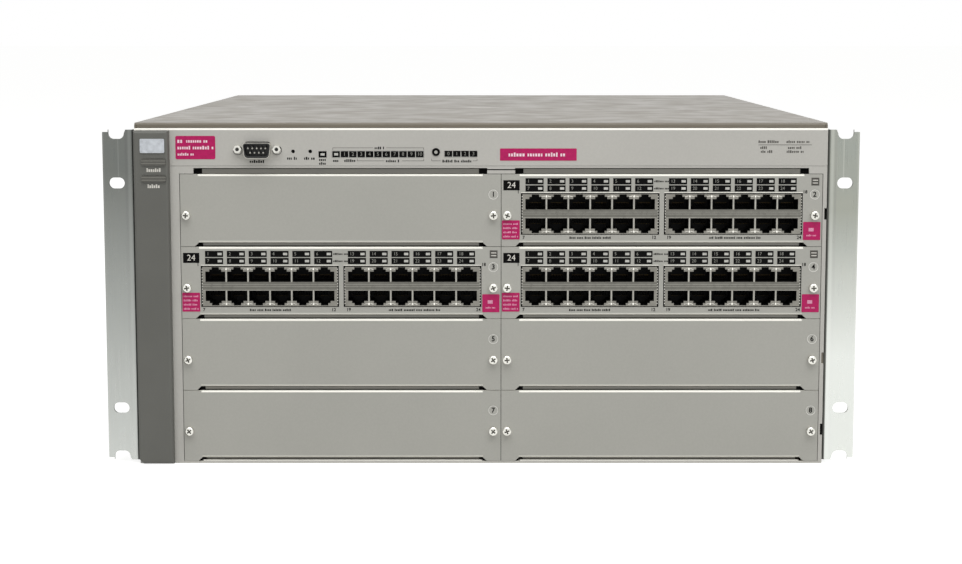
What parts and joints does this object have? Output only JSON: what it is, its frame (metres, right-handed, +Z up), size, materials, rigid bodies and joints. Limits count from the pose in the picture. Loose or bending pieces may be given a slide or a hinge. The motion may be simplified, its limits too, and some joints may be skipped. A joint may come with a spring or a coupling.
{
  "type": "modular chassis switch",
  "caption": "Rack-mount network switch chassis with sliding socket modules, blank slot covers, side fans, a control strip with a serial port, and rear power supplies.",
  "frame": {"origin": "centre of the chassis footprint, on the underside of the bottom sheet; the rack brackets, bezel and rear handles aren't part of the footprint", "axes": "+X to the right seen from the front, +Y from the front to the rear, +Z up"},
  "size_m": [0.4826, 0.4861, 0.221],
  "materials": {
    "light_paint": "fine powder coat, light grey",
    "dark_paint": "fine powder coat, dark grey",
    "zinc_steel": "zinc plated, slightly cloudy",
    "nickel_steel": "bright nickel plate",
    "bezel_plastic": "fine moulded texture",
    "badge_metal": "satin",
    "light_guide": "clear to milky",
    "guide_plastic": "plain",
    "circuit_board": "solder mask",
    "tin_shell": "tin plated",
    "socket_block": "black, in a tin plated shield",
    "fan_plastic": "plain",
    "button_plastic": "plain",
    "inlet_plastic": "plain",
    "handle_metal": "nickel plate"
  },
  "bodies": {
    "chassis": {"bottom_pan": "light_paint", "left_side_panel": "dark_paint", "right_side_panel": "dark_paint", "rear_panel": "light_paint", "top_cover": "dark_paint", "front_frame": "light_paint", "control_panel": "light_paint", "side_bezel": "bezel_plastic", "bezel_badge": "badge_metal", "front_lights": "light_guide", "rack_bracket_left": "zinc_steel", "rack_bracket_right": "zinc_steel", "chassis_screws": "nickel_steel", "cage_walls": "zinc_steel", "slot_shelves": "zinc_steel", "card_guides": "guide_plastic", "backplane": "circuit_board", "management_board": "circuit_board", "console_connector": "tin_shell", "console_jackscrews": "nickel_steel", "psu_bay": "zinc_steel", "fan_frames": "fan_plastic"},
    "fan_1": {"fan_rotor_1": "fan_plastic"},
    "fan_2": {"fan_rotor_2": "fan_plastic"},
    "fan_3": {"fan_rotor_3": "fan_plastic"},
    "fan_4": {"fan_rotor_4": "fan_plastic"},
    "reset_button": {"reset_button": "button_plastic"},
    "clear_button": {"clear_button": "button_plastic"},
    "mode_button": {"mode_button": "button_plastic"},
    "cover_a": {"cover_a": "light_paint", "cover_a_screws": "nickel_steel"},
    "cover_e": {"cover_e": "light_paint", "cover_e_screws": "nickel_steel"},
    "cover_f": {"cover_f": "light_paint", "cover_f_screws": "nickel_steel"},
    "cover_g": {"cover_g": "light_paint", "cover_g_screws": "nickel_steel"},
    "cover_h": {"cover_h": "light_paint", "cover_h_screws": "nickel_steel"},
    "module_b": {"module_b_faceplate": "light_paint", "module_b_screws": "nickel_steel", "module_b_jacks": "socket_block", "module_b_lights": "light_guide", "module_b_board": "circuit_board"},
    "module_c": {"module_c_faceplate": "light_paint", "module_c_screws": "nickel_steel", "module_c_jacks": "socket_block", "module_c_lights": "light_guide", "module_c_board": "circuit_board"},
    "module_d": {"module_d_faceplate": "light_paint", "module_d_screws": "nickel_steel", "module_d_jacks": "socket_block", "module_d_lights": "light_guide", "module_d_board": "circuit_board"},
    "psu_1": {"psu_1_case": "zinc_steel", "psu_1_inlet": "inlet_plastic", "psu_1_handle": "handle_metal"},
    "psu_2": {"psu_2_case": "zinc_steel", "psu_2_inlet": "inlet_plastic", "psu_2_handle": "handle_metal"}
  },
  "joints": [
    {"name": "fan_1_spin", "type": "hinge", "parent": "chassis", "child": "fan_1", "pos_m": [-0.2064, -0.1625, 0.0484], "axis": [1, 0, 0], "continuous": true},
    {"name": "fan_2_spin", "type": "hinge", "parent": "chassis", "child": "fan_2", "pos_m": [-0.2064, -0.1625, 0.1434], "axis": [1, 0, 0], "continuous": true},
    {"name": "fan_3_spin", "type": "hinge", "parent": "chassis", "child": "fan_3", "pos_m": [-0.2064, -0.0645, 0.0484], "axis": [1, 0, 0], "continuous": true},
    {"name": "fan_4_spin", "type": "hinge", "parent": "chassis", "child": "fan_4", "pos_m": [-0.2064, -0.0645, 0.1434], "axis": [1, 0, 0], "continuous": true},
    {"name": "reset_button_press", "type": "slide", "parent": "chassis", "child": "reset_button", "axis": [0, 1, 0], "range_m": [0, 0.0008], "stiffness_N_per_m": 500},
    {"name": "clear_button_press", "type": "slide", "parent": "chassis", "child": "clear_button", "axis": [0, 1, 0], "range_m": [0, 0.0008], "stiffness_N_per_m": 500},
    {"name": "mode_button_press", "type": "slide", "parent": "chassis", "child": "mode_button", "axis": [0, 1, 0], "range_m": [0, 0.0007], "stiffness_N_per_m": 500},
    {"name": "cover_a_pull", "type": "slide", "parent": "chassis", "child": "cover_a", "axis": [0, -1, 0], "range_m": [0, 0.04]},
    {"name": "cover_e_pull", "type": "slide", "parent": "chassis", "child": "cover_e", "axis": [0, -1, 0], "range_m": [0, 0.04]},
    {"name": "cover_f_pull", "type": "slide", "parent": "chassis", "child": "cover_f", "axis": [0, -1, 0], "range_m": [0, 0.04]},
    {"name": "cover_g_pull", "type": "slide", "parent": "chassis", "child": "cover_g", "axis": [0, -1, 0], "range_m": [0, 0.04]},
    {"name": "cover_h_pull", "type": "slide", "parent": "chassis", "child": "cover_h", "axis": [0, -1, 0], "range_m": [0, 0.04]},
    {"name": "module_b_pull", "type": "slide", "parent": "chassis", "child": "module_b", "axis": [0, -1, 0], "range_m": [0, 0.25]},
    {"name": "module_c_pull", "type": "slide", "parent": "chassis", "child": "module_c", "axis": [0, -1, 0], "range_m": [0, 0.25]},
    {"name": "module_d_pull", "type": "slide", "parent": "chassis", "child": "module_d", "axis": [0, -1, 0], "range_m": [0, 0.25]},
    {"name": "psu_1_pull", "type": "slide", "parent": "chassis", "child": "psu_1", "axis": [0, 1, 0], "range_m": [0, 0.18]},
    {"name": "psu_2_pull", "type": "slide", "parent": "chassis", "child": "psu_2", "axis": [0, 1, 0], "range_m": [0, 0.18]}
  ]
}
